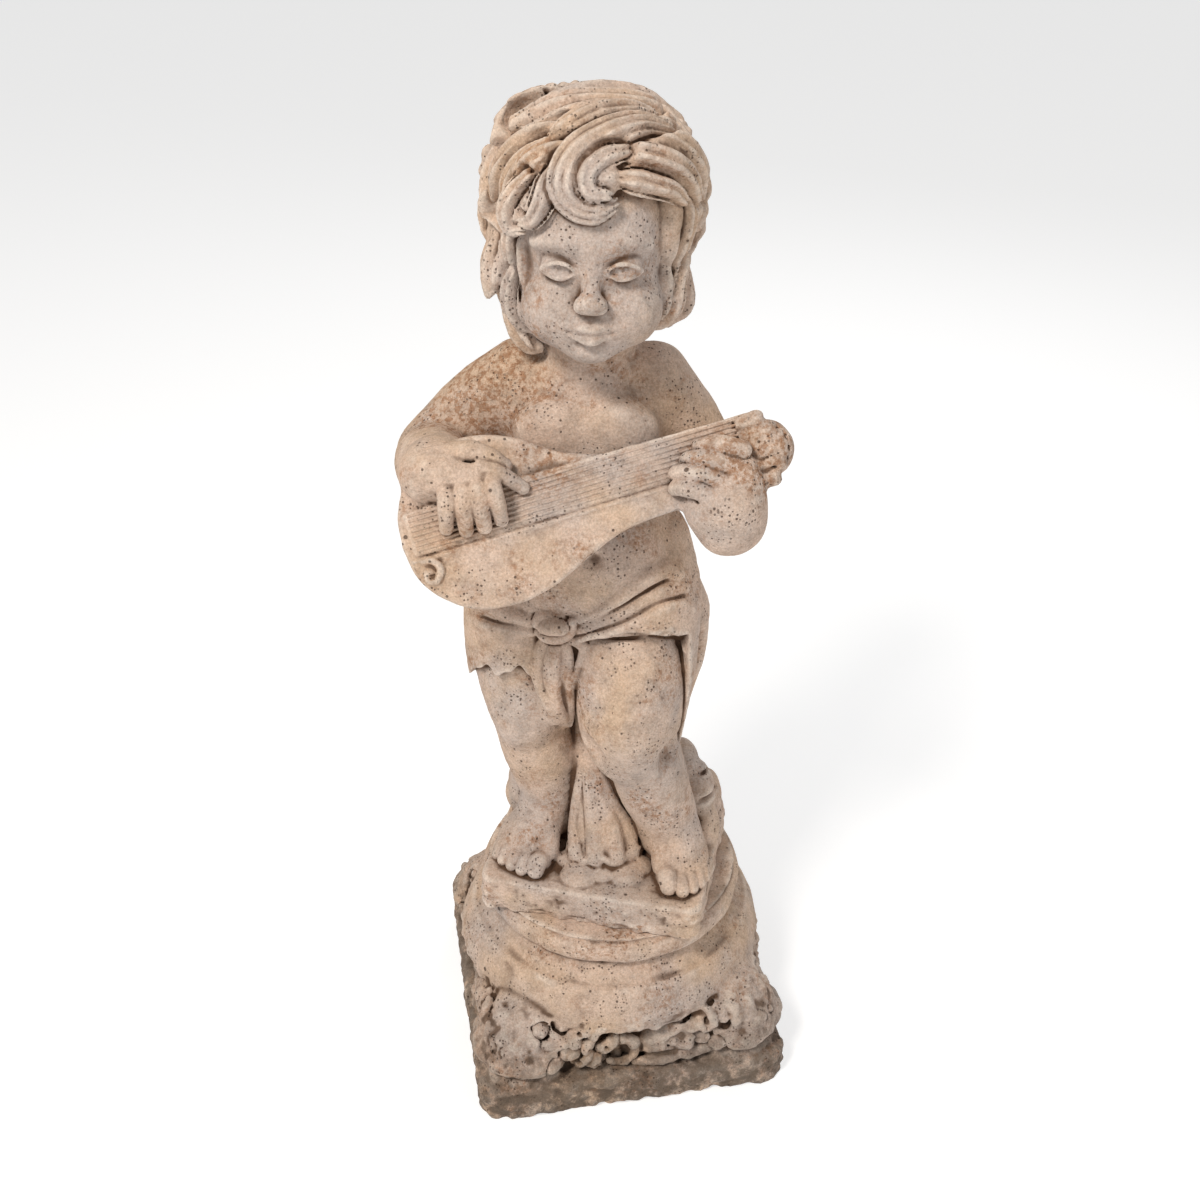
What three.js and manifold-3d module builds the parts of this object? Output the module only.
// A cast-stone garden statue: a child playing a mandolin, standing on a small
// square plinth of its own casting, set turned on a separate moulded pedestal
// whose four corners are fish-like dolphin heads. Millimetres, +Z up, origin at
// the centre of the pedestal's underside, pedestal sides along X and Y.

import * as THREE from "three";
import { mergeVertices } from "three/addons/utils/BufferGeometryUtils.js";
import Module from "manifold-3d";

const wasm = await Module();
wasm.setup();

// Driving dimensions
const FOOT_WIDTH = 280;
const FOOT_CORNER = 20;
const FOOT_HEIGHT = 34;
const PEDESTAL_HEIGHT = 175;
const PLINTH_WIDTH = 194;
const PLINTH_THICKNESS = 34;
const PLINTH_BACK_CORNER = 55;
const JOINT_GAP = 0.3;
const FIGURE_TURN = -11.5;
const PLINTH_TURN = -11.5;

const PLINTH_BOTTOM = PEDESTAL_HEIGHT + JOINT_GAP;
const GROUND = PLINTH_BOTTOM + PLINTH_THICKNESS;

// Number of facets used for each kind of form
const RING_SIDES = 24;
const LIMB_SIDES = 7;
const LOCK_SIDES = 4;

const UP = new THREE.Vector3(0, 0, 1);
const rad = THREE.MathUtils.degToRad;
const vector = (p) => new THREE.Vector3(p[0], p[1], p[2]);

// A closed three.js geometry as a manifold solid, and back again.
function solid(geometry) {
  const bare = geometry.index ? geometry.toNonIndexed() : geometry.clone();
  for (const name of Object.keys(bare.attributes)) {
    if (name !== "position") bare.deleteAttribute(name);
  }
  const merged = mergeVertices(bare, 1e-3);
  return new wasm.Manifold(
    new wasm.Mesh({
      numProp: 3,
      vertProperties: merged.attributes.position.array,
      triVerts: new Uint32Array(merged.index.array),
    }),
  );
}

function geometryOf(manifold) {
  const mesh = manifold.getMesh();
  const positions = new Float32Array(mesh.numVert * 3);
  for (let i = 0; i < mesh.numVert; i++) {
    positions.set(mesh.vertProperties.subarray(i * mesh.numProp, i * mesh.numProp + 3), i * 3);
  }
  const geometry = new THREE.BufferGeometry();
  geometry.setAttribute("position", new THREE.BufferAttribute(positions, 3));
  geometry.setIndex(new THREE.BufferAttribute(mesh.triVerts, 1));
  geometry.computeVertexNormals();
  return geometry;
}

const join = (solids) => solids.reduce((sum, next) => sum.add(next));

// Pockets sealed inside a union are filled, as in a solid casting, by keeping
// its outer skin alone.
function cast(solids) {
  const skins = join(solids).decompose();
  return skins.reduce((largest, next) => (next.volume() > largest.volume() ? next : largest));
}

// A closed skin over rings of points, each ring given as an array of vectors.
// The first and last rings are closed by a fan to their centres.
function skin(rings) {
  const sides = rings[0].length;
  const positions = rings.flat().flatMap((p) => [p.x, p.y, p.z]);
  const index = [];
  for (let r = 0; r + 1 < rings.length; r++) {
    for (let s = 0; s < sides; s++) {
      const a = r * sides + s;
      const b = r * sides + ((s + 1) % sides);
      index.push(a, b, b + sides, a, b + sides, a + sides);
    }
  }
  const cap = (first, flip) => {
    const centre = positions.length / 3;
    const middle = new THREE.Vector3();
    for (let s = 0; s < sides; s++) {
      const i = 3 * (first + s);
      middle.add(new THREE.Vector3(positions[i], positions[i + 1], positions[i + 2]));
    }
    middle.divideScalar(sides);
    positions.push(middle.x, middle.y, middle.z);
    for (let s = 0; s < sides; s++) {
      const a = first + s;
      const b = first + ((s + 1) % sides);
      index.push(...(flip ? [centre, b, a] : [centre, a, b]));
    }
  };
  cap(0, true);
  cap((rings.length - 1) * sides, false);
  const geometry = new THREE.BufferGeometry();
  geometry.setAttribute("position", new THREE.Float32BufferAttribute(positions, 3));
  geometry.setIndex(index);
  return geometry;
}

// A rounded limb along a smooth curve. Each station is [x, y, z, radius].
// flat squeezes the section along its second axis.
function limb(stations, { sides = LIMB_SIDES, rings = stations.length + 1, flat = 1 } = {}) {
  const curve = new THREE.CatmullRomCurve3(stations.map(vector), false, "centripetal");
  const last = stations.length - 1;
  const radiusAt = (t) => {
    const i = Math.min(Math.floor(t * last), last - 1);
    return THREE.MathUtils.lerp(stations[i][3], stations[i + 1][3], t * last - i);
  };
  let across = new THREE.Vector3(0.31, 0.94, 0.12);
  const made = [];
  const ring = (centre, tangent, radius) => {
    across = across.clone().projectOnPlane(tangent).normalize();
    const other = new THREE.Vector3().crossVectors(tangent, across);
    const points = [];
    for (let s = 0; s < sides; s++) {
      const angle = (2 * Math.PI * s) / sides;
      points.push(
        centre
          .clone()
          .addScaledVector(across, radius * Math.cos(angle))
          .addScaledVector(other, radius * flat * Math.sin(angle)),
      );
    }
    made.push(points);
  };
  const start = curve.getPoint(0);
  const startTangent = curve.getTangent(0);
  const dome = rad(50);
  const startRadius = stations[0][3];
  const before = start.clone().addScaledVector(startTangent, -startRadius * Math.sin(dome));
  ring(before, startTangent, startRadius * Math.cos(dome));
  for (let r = 0; r <= rings; r++) {
    const t = r / rings;
    ring(curve.getPoint(t), curve.getTangent(t), radiusAt(t));
  }
  const end = curve.getPoint(1);
  const endTangent = curve.getTangent(1);
  const endRadius = stations[last][3];
  const after = end.clone().addScaledVector(endTangent, endRadius * Math.sin(dome));
  ring(after, endTangent, endRadius * Math.cos(dome));
  return solid(skin(made));
}

// An ellipsoid at a centre, with three radii and optional turns in degrees.
function egg(centre, radii, { turn = [0, 0, 0], sides = 12 } = {}) {
  const geometry = new THREE.SphereGeometry(1, sides, Math.round(sides * 0.6));
  geometry.rotateX(Math.PI / 2);
  geometry.scale(...radii);
  geometry.rotateX(rad(turn[0])).rotateY(rad(turn[1])).rotateZ(rad(turn[2]));
  geometry.translate(...centre);
  return solid(geometry);
}

// A rounded square prism standing on the plane z = bottom. The corner that
// faces +X +Y may have a radius of its own.
function roundedSlab(width, corner, bottom, height, backCorner = corner) {
  const half = width / 2;
  const shape = new THREE.Shape();
  shape.moveTo(-half + corner, -half);
  shape.absarc(half - corner, -half + corner, corner, -Math.PI / 2, 0);
  shape.absarc(half - backCorner, half - backCorner, backCorner, 0, Math.PI / 2);
  shape.absarc(-half + corner, half - corner, corner, Math.PI / 2, Math.PI);
  shape.absarc(-half + corner, -half + corner, corner, Math.PI, 1.5 * Math.PI);
  const geometry = new THREE.ExtrudeGeometry(shape, {
    depth: height,
    bevelEnabled: false,
    curveSegments: 3,
  });
  geometry.translate(0, 0, bottom);
  return solid(geometry);
}

// The pedestal's round mouldings: an overhanging skirt, a hollow and a torus.
function pedestalMouldings() {
  const profile = [
    [0, 30],
    [110, 30],
    [115, 84],
    [136, 86],
    [139, 98],
    [134, 118],
    [126, 132],
    [118, 135],
    [111, 145],
    [116, 150],
    [118, 160],
    [114, 170],
    [106, PEDESTAL_HEIGHT],
    [0, PEDESTAL_HEIGHT],
  ].map(([r, z]) => new THREE.Vector2(r, z));
  const geometry = new THREE.LatheGeometry(profile, RING_SIDES);
  geometry.rotateX(Math.PI / 2);
  return solid(geometry);
}

// One dolphin head, made looking along +X and then turned onto its corner.
function dolphinHead(turn) {
  const parts = [
    egg([138, 0, 72], [48, 38, 32], { turn: [0, 16, 0], sides: 8 }),
    egg([170, 0, 62], [26, 26, 17], { turn: [0, 14, 0], sides: 6 }),
    egg([160, 0, 42], [27, 24, 12], { sides: 6 }),
  ];
  for (const side of [-1, 1]) {
    parts.push(egg([140, side * 32, 72], [13, 9, 12], { sides: 5 }));
    parts.push(egg([112, side * 44, 62], [18, 14, 27], { turn: [0, 0, side * 40], sides: 5 }));
  }
  return join(parts).rotate([0, 0, turn]);
}

// The dolphins' tails meet in a scroll in the middle of each side.
function tailScroll(turn) {
  const scroll = [];
  const stations = 5;
  for (let i = 0; i <= stations; i++) {
    const t = i / stations;
    const angle = rad(-30 + 300 * t);
    const reach = THREE.MathUtils.lerp(19, 8, t);
    scroll.push([-2 + reach * Math.cos(angle), -120, 60 + reach * Math.sin(angle), 9]);
  }
  const parts = [
    limb(scroll, { sides: 4, rings: 5 }),
    limb([[12, -113, 68, 17], [44, -116, 66, 19], [68, -110, 64, 17]], { sides: 4, rings: 2 }),
    limb([[-68, -110, 62, 17], [-46, -116, 60, 16], [-26, -112, 72, 15]], { sides: 4, rings: 2 }),
  ];
  return join(parts).rotate([0, 0, turn]);
}

function pedestal() {
  const parts = [roundedSlab(FOOT_WIDTH, FOOT_CORNER, 0, FOOT_HEIGHT)];
  parts.push(roundedSlab(FOOT_WIDTH - 50, FOOT_CORNER, FOOT_HEIGHT - 4, 60));
  parts.push(pedestalMouldings());
  for (let corner = 0; corner < 4; corner++) {
    parts.push(dolphinHead(45 + 90 * corner));
    parts.push(tailScroll(90 * corner));
  }
  return cast(parts);
}

// The little plinth cast with the figure, turned against the body.
function plinth() {
  const slab = roundedSlab(PLINTH_WIDTH, 12, PLINTH_BOTTOM, PLINTH_THICKNESS, PLINTH_BACK_CORNER);
  return slab.rotate([0, 0, PLINTH_TURN]);
}

// One foot: heel, instep and five toes spread across its front. bigToe is the
// side that the big toe is on, 1 or -1.
function foot({ heel, toe, width, bigToe }) {
  const from = vector(heel);
  const ahead = vector(toe).sub(from);
  const side = new THREE.Vector3().crossVectors(ahead, UP).setLength(bigToe);
  const at = (t, across, lift) =>
    from.clone().addScaledVector(ahead, t).addScaledVector(side, across).addScaledVector(UP, lift).toArray();
  const parts = [
    limb([
      [...at(0, 0, 0), 20],
      [...at(0.35, 0, 4), 22],
      [...at(0.62, 0, -2), 21],
    ], { sides: 6, rings: 2 }),
    egg(at(0.72, 0, -6), [width, width * 0.95, 13], { sides: 7 }),
  ];
  for (let toeNumber = 0; toeNumber < 5; toeNumber++) {
    const across = THREE.MathUtils.lerp(1, -1, toeNumber / 4) * (width - 6);
    const reach = 1 - 0.04 * toeNumber;
    const radius = toeNumber === 0 ? 8 : 6.2;
    parts.push(egg(at(reach - 0.08, across, -8), [radius, radius * 1.7, radius], { sides: 5 }));
  }
  return join(parts);
}

function legs() {
  return join([
    limb([
      [-74, 2, 436, 46],
      [-72, -12, 388, 42],
      [-68, -18, 345, 35],
      [-62, -12, 300, 31],
      [-57, -10, 256, 26],
      [-58, -8, 236, 24],
    ]),
    limb([
      [8, -14, 440, 50],
      [12, -46, 410, 46],
      [13, -54, 370, 45],
      [20, -50, 330, 39],
      [34, -44, 290, 33],
      [46, -38, 252, 28],
      [50, -36, 236, 27],
    ]),
    foot({ heel: [-55, -4, 226], toe: [-82, -72, 222], width: 25, bigToe: -1 }),
    foot({ heel: [51, -28, 226], toe: [62, -96, 222], width: 25, bigToe: 1 }),
  ]);
}

// A ring of points around the body at one height, with folds pressed into it.
function foldedRing([x, y, z], [rx, ry], folds, depth, sides) {
  const points = [];
  for (let s = 0; s < sides; s++) {
    const angle = (2 * Math.PI * s) / sides;
    const ripple = 1 + depth * Math.sin(folds * angle + z * 0.01);
    points.push(new THREE.Vector3(x + rx * ripple * Math.cos(angle), y + ry * ripple * Math.sin(angle), z));
  }
  return points;
}

function torso() {
  const rings = [
    [[-24, 2, 430], [84, 56]],
    [[-24, -4, 465], [82, 62]],
    [[-22, -10, 500], [72, 64]],
    [[-22, -8, 545], [63, 58]],
    [[-24, -4, 590], [62, 51]],
    [[-26, 0, 618], [68, 47]],
    [[-26, 3, 642], [62, 40]],
    [[-24, 4, 662], [42, 33]],
    [[-22, 0, 680], [36, 34]],
    [[-22, -2, 705], [35, 35]],
  ].map(([centre, radii]) => foldedRing(centre, radii, 0, 0, 11));
  return solid(skin(rings));
}

// The cloth wrapped round the hips, its fall behind and the end between the legs.
function drapery() {
  const sides = 16;
  const wrap = [
    [[-24, 8, 372], [86, 52], 0.02],
    [[-25, 4, 402], [95, 62], 0.03],
    [[-24, 2, 434], [96, 66], 0.025],
    [[-23, -2, 466], [86, 66], 0.02],
    [[-20, -2, 496], [72, 58], 0.01],
  ].map(([centre, radii, depth]) => foldedRing(centre, radii, 9, depth, sides));
  const backFall = [
    [[-2, 26, GROUND - 2], [88, 52], 0.06],
    [[-2, 26, 236], [82, 48], 0.06],
    [[-8, 28, 270], [70, 40], 0.06],
    [[-16, 30, 320], [62, 34], 0.05],
    [[-24, 30, 390], [74, 36], 0.05],
    [[-24, 24, 440], [72, 38], 0.02],
  ].map(([centre, radii, depth]) => foldedRing(centre, radii, 9, depth, sides));
  const knot = [-46, -72, 462];
  return join([
    solid(skin(wrap)),
    solid(skin(backFall)),
    limb([[-112, -14, 474, 13], [-88, -48, 474, 13], knot.concat(13)], { sides: 5, rings: 2 }),
    limb([knot.concat(13), [-8, -64, 474, 13], [26, -50, 498, 14], [44, -10, 512, 12]], { sides: 5, rings: 3 }),
    limb([[-10, -64, 462, 16], [30, -50, 468, 18], [52, -22, 460, 18], [56, 12, 440, 16]], { sides: 6, rings: 3 }),
    egg(knot, [21, 15, 17], { sides: 6 }),
    limb([[-50, -58, 446, 17], [-44, -56, 412, 18], [-38, -50, 362, 9]], { sides: 5, rings: 3 }),
    limb([[52, -26, 452, 14], [56, -30, 410, 13], [52, -20, 344, 9]], { sides: 5, rings: 3 }),
    limb([[-26, -8, 360, 12], [-16, -22, 290, 20], [-8, -36, 240, 28], [-8, -44, 218, 30]], { sides: 6, rings: 3 }),
    ...[[-30, -70], [-6, -66], [15, -68]].map(([x, y]) => egg([x, y, GROUND + 2], [15, 14, 9], { sides: 4 })),
    egg([74, 18, 228], [22, 40, 36], { sides: 7 }),
    egg([-78, 16, 240], [17, 22, 30], { sides: 5 }),
  ]);
}

// Fingers are short limbs; each is [root x, y, z, tip x, y, z, radius].
const fingers = (list) =>
  list.map(([a, b, c, d, e, f, r]) => limb([[a, b, c, r], [d, e, f, r * 0.85]], { sides: 4, rings: 1 }));

function arms() {
  const plucking = [
    limb([[-80, 5, 640, 33], [-112, 5, 612, 31], [-141, 0, 582, 30]]),
    limb([[-141, -2, 582, 30], [-136, -44, 592, 30], [-120, -82, 598, 26]]),
    egg([-104, -104, 596], [26, 23, 22], { turn: [20, 20, 30], sides: 7 }),
    ...fingers([
      [-88, -122, 600, -78, -132, 576, 7.5],
      [-100, -124, 594, -90, -136, 568, 7.5],
      [-111, -124, 588, -102, -137, 563, 7],
      [-121, -120, 582, -112, -134, 560, 6.5],
      [-90, -108, 612, -66, -116, 604, 7],
    ]),
  ];
  const fretting = [
    limb([[34, 5, 638, 33], [60, 8, 606, 30], [84, 2, 570, 28]]),
    limb([[84, 0, 568, 28], [86, -46, 570, 29], [82, -88, 580, 27]]),
    egg([80, -100, 592], [25, 24, 28], { sides: 7 }),
    ...fingers([
      [88, -102, 622, 58, -110, 634, 7.5],
      [80, -112, 614, 48, -116, 624, 7.5],
      [72, -116, 602, 42, -122, 612, 7],
      [66, -118, 590, 42, -124, 598, 6.5],
    ]),
  ];
  return join([...plucking, ...fretting]);
}

// The mandolin lies in a plane leaned back against the chest.
function mandolin() {
  const along = new THREE.Vector3(0.953, 0.168, 0.254).normalize();
  const across = new THREE.Vector3(-0.303, 0.44, 0.846).projectOnPlane(along).normalize();
  const facing = new THREE.Vector3().crossVectors(along, across);
  const place = new THREE.Matrix4().makeBasis(along, across, facing).setPosition(-98, -112, 568);
  const outline = new THREE.Shape();
  outline.moveTo(-60, 0);
  outline.bezierCurveTo(-60, 38, -34, 64, 4, 64);
  outline.bezierCurveTo(46, 64, 62, 34, 96, 28);
  outline.bezierCurveTo(130, 26, 160, 27, 200, 28);
  outline.lineTo(200, -22);
  outline.bezierCurveTo(160, -23, 130, -22, 96, -24);
  outline.bezierCurveTo(62, -32, 44, -64, 4, -64);
  outline.bezierCurveTo(-34, -64, -60, -38, -60, 0);
  const board = new THREE.ExtrudeGeometry(outline, {
    depth: 14,
    bevelThickness: 8,
    bevelSize: 5,
    bevelOffset: -5,
    bevelSegments: 1,
    curveSegments: 4,
  });
  board.translate(0, 0, -22);
  const strings = new THREE.BoxGeometry(206, 30, 6).translate(56, 0, -0.5);
  const parts = [solid(board), solid(strings)];
  parts.push(egg([18, 0, -26], [70, 50, 24], { sides: 8 }));
  parts.push(egg([220, -5, -10], [27, 26, 17], { sides: 7 }));
  for (const side of [-1, 1]) {
    for (let peg = 0; peg < 3; peg++) {
      parts.push(egg([206 + 12 * peg, -2 + side * 14, 2], [7, 8, 7], { sides: 5 }));
    }
  }
  return solid(geometryOf(join(parts)).applyMatrix4(place));
}

// One lock of hair from its root to its tip.
const lock = (...stations) =>
  limb(stations, { sides: LOCK_SIDES, rings: stations.length - 1, flat: 0.75 });

function head() {
  const parts = [
    egg([-21, -20, 744], [51, 59, 61], { sides: 10 }),
    egg([-21, -38, 716], [47, 43, 37], { sides: 9 }),
    egg([-21, -86, 727], [8, 9, 8], { sides: 6 }),
    egg([-22, 8, 788], [73, 67, 65], { sides: 8 }),
    egg([-22, 24, 744], [66, 48, 60], { sides: 7 }),
  ];
  for (const side of [-1, 1]) {
    const x = (reach) => -22 + side * reach;
    parts.push(egg([x(23), -58, 716], [21, 20, 20], { sides: 7 }));
    parts.push(lock([x(40), -44, 826, 18], [x(58), -40, 800, 19], [x(64), -34, 772, 14]));
    parts.push(lock([x(60), -8, 812, 20], [x(64), -6, 780, 20], [x(60), -4, 758, 14]));
    parts.push(lock([x(58), -14, 752, 16], [x(64), -12, 726, 18], [x(54), -8, 704, 14]));
    parts.push(lock([x(50), 24, 730, 18], [x(48), 20, 700, 15], [x(42), 10, 678, 10]));
    parts.push(lock([x(26), 50, 780, 22], [x(34), 56, 734, 20], [x(28), 48, 698, 14]));
  }
  parts.push(lock([10, -36, 836, 18], [-16, -58, 826, 19], [-40, -72, 806, 18], [-44, -78, 794, 12]));
  parts.push(lock([26, -46, 824, 16], [4, -64, 814, 17], [-14, -76, 802, 15]));
  parts.push(lock([-34, -46, 836, 17], [-58, -54, 820, 18], [-70, -60, 796, 15], [-70, -60, 782, 11]));
  parts.push(lock([34, -22, 828, 16], [30, -54, 820, 14], [8, -70, 812, 11]));
  parts.push(lock([-14, 0, 842, 18], [-44, -22, 838, 18], [-62, -30, 822, 16]));
  parts.push(lock([-22, 56, 790, 22], [-22, 62, 744, 21], [-22, 52, 702, 14]));
  return join(parts);
}

function figure() {
  const body = cast([plinth(), legs(), torso(), drapery(), arms(), mandolin(), head()]);
  return body.rotate([0, 0, FIGURE_TURN]);
}

const STONE = { color: new THREE.Color(0.72, 0.6, 0.48), roughness: 0.92, metalness: 0 };

function piece(name, shape) {
  const mesh = new THREE.Mesh(geometryOf(shape), new THREE.MeshStandardMaterial(STONE));
  mesh.name = name;
  return mesh;
}

const statue = new THREE.Group();
statue.add(piece("pedestal", pedestal()));
statue.add(piece("mandolin_player", figure()));

export default statue;
